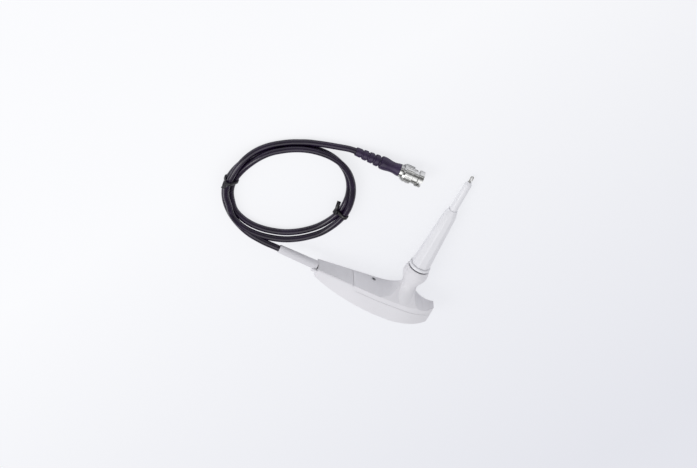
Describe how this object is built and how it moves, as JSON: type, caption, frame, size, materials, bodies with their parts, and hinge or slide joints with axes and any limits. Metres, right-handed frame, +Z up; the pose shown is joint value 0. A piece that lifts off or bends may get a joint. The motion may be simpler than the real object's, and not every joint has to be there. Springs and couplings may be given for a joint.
{
  "type": "oscilloscope probe",
  "caption": "T-handled high-voltage oscilloscope probe with a tapered barrel, spring hook tip, bundled coaxial lead and bayonet plug.",
  "frame": {"origin": "centre of the probe's footprint on the table, without the cable and plug", "axes": "+X along the handle from its cord end to its nose, +Y along the barrel towards the hook tip, +Z up from the table; the probe lies on its side"},
  "size_m": [0.2029, 0.149, 0.0273],
  "materials": {
    "shell": "fine satin texture",
    "cover": "fine satin texture",
    "barrel_plastic": "satin",
    "boot": "matt",
    "gasket": "matt",
    "cable_jacket": "semi-gloss extruded jacket",
    "tie": "satin",
    "plug_rubber": "semi-gloss moulded",
    "nickel": "bright nickel plate",
    "gold": "gold plate",
    "brass": "plain",
    "tin": "tin plate",
    "spring_steel": "drawn wire",
    "screw_steel": "black zinc",
    "board": "solder mask",
    "chip": "plain",
    "ceramic": "ceramic",
    "resistor": "lacquered ceramic",
    "core": "waxy white polymer"
  },
  "bodies": {
    "probe": {"lower_shell": "shell", "upper_shell": "shell", "shell_screws": "screw_steel", "circuit_board": "board", "board_screws": "screw_steel", "board_parts": "chip", "trimmer_bodies": "ceramic", "ground_jack": "tin", "neck_gasket": "gasket", "flange_ring": "barrel_plastic", "barrel": "barrel_plastic", "divider_resistor": "resistor", "resistor_caps": "tin", "signal_wire": "brass", "hook_rod": "spring_steel", "hook_spring": "spring_steel", "cable_boot": "boot", "cable_core": "core", "cable_lead": "cable_jacket", "cable_coil": "cable_jacket", "cable_tail": "cable_jacket", "cable_ties": "tie", "plug_boot": "plug_rubber", "crimp_sleeve": "nickel", "plug_body": "nickel", "plug_insulator": "core", "centre_pin": "gold", "outer_contact": "nickel", "plug_gasket": "gasket", "wave_washer": "spring_steel"},
    "cover": {"trimmer_cover": "cover"},
    "low_rotor": {"low_trimmer": "brass"},
    "high_rotor": {"high_trimmer": "brass"},
    "sleeve": {"hook_sleeve": "barrel_plastic"},
    "nut": {"coupling_nut": "nickel"}
  },
  "joints": [
    {"name": "hook_slide", "type": "slide", "parent": "probe", "child": "sleeve", "axis": [0, -0.9965, 0.0833], "range_m": [0, 0.005], "stiffness_N_per_m": 150, "springref_m": -0.004, "deforming": ["hook_spring"]},
    {"name": "cover_lift", "type": "slide", "parent": "probe", "child": "cover", "axis": [0, 0.9965, -0.0833], "range_m": [0, 0.008]},
    {"name": "low_trim", "type": "hinge", "parent": "probe", "child": "low_rotor", "pos_m": [-0.01447, -0.05627, 0.01327], "axis": [0, 0.9965, -0.0833], "continuous": true},
    {"name": "high_trim", "type": "hinge", "parent": "probe", "child": "high_rotor", "pos_m": [-0.00571, -0.05627, 0.01327], "axis": [0, 0.9965, -0.0833], "continuous": true},
    {"name": "nut_turn", "type": "hinge", "parent": "probe", "child": "nut", "pos_m": [-0.0047, 0.05797, 0.00782], "axis": [0.9965, 0.0035, 0.084], "continuous": true}
  ]
}
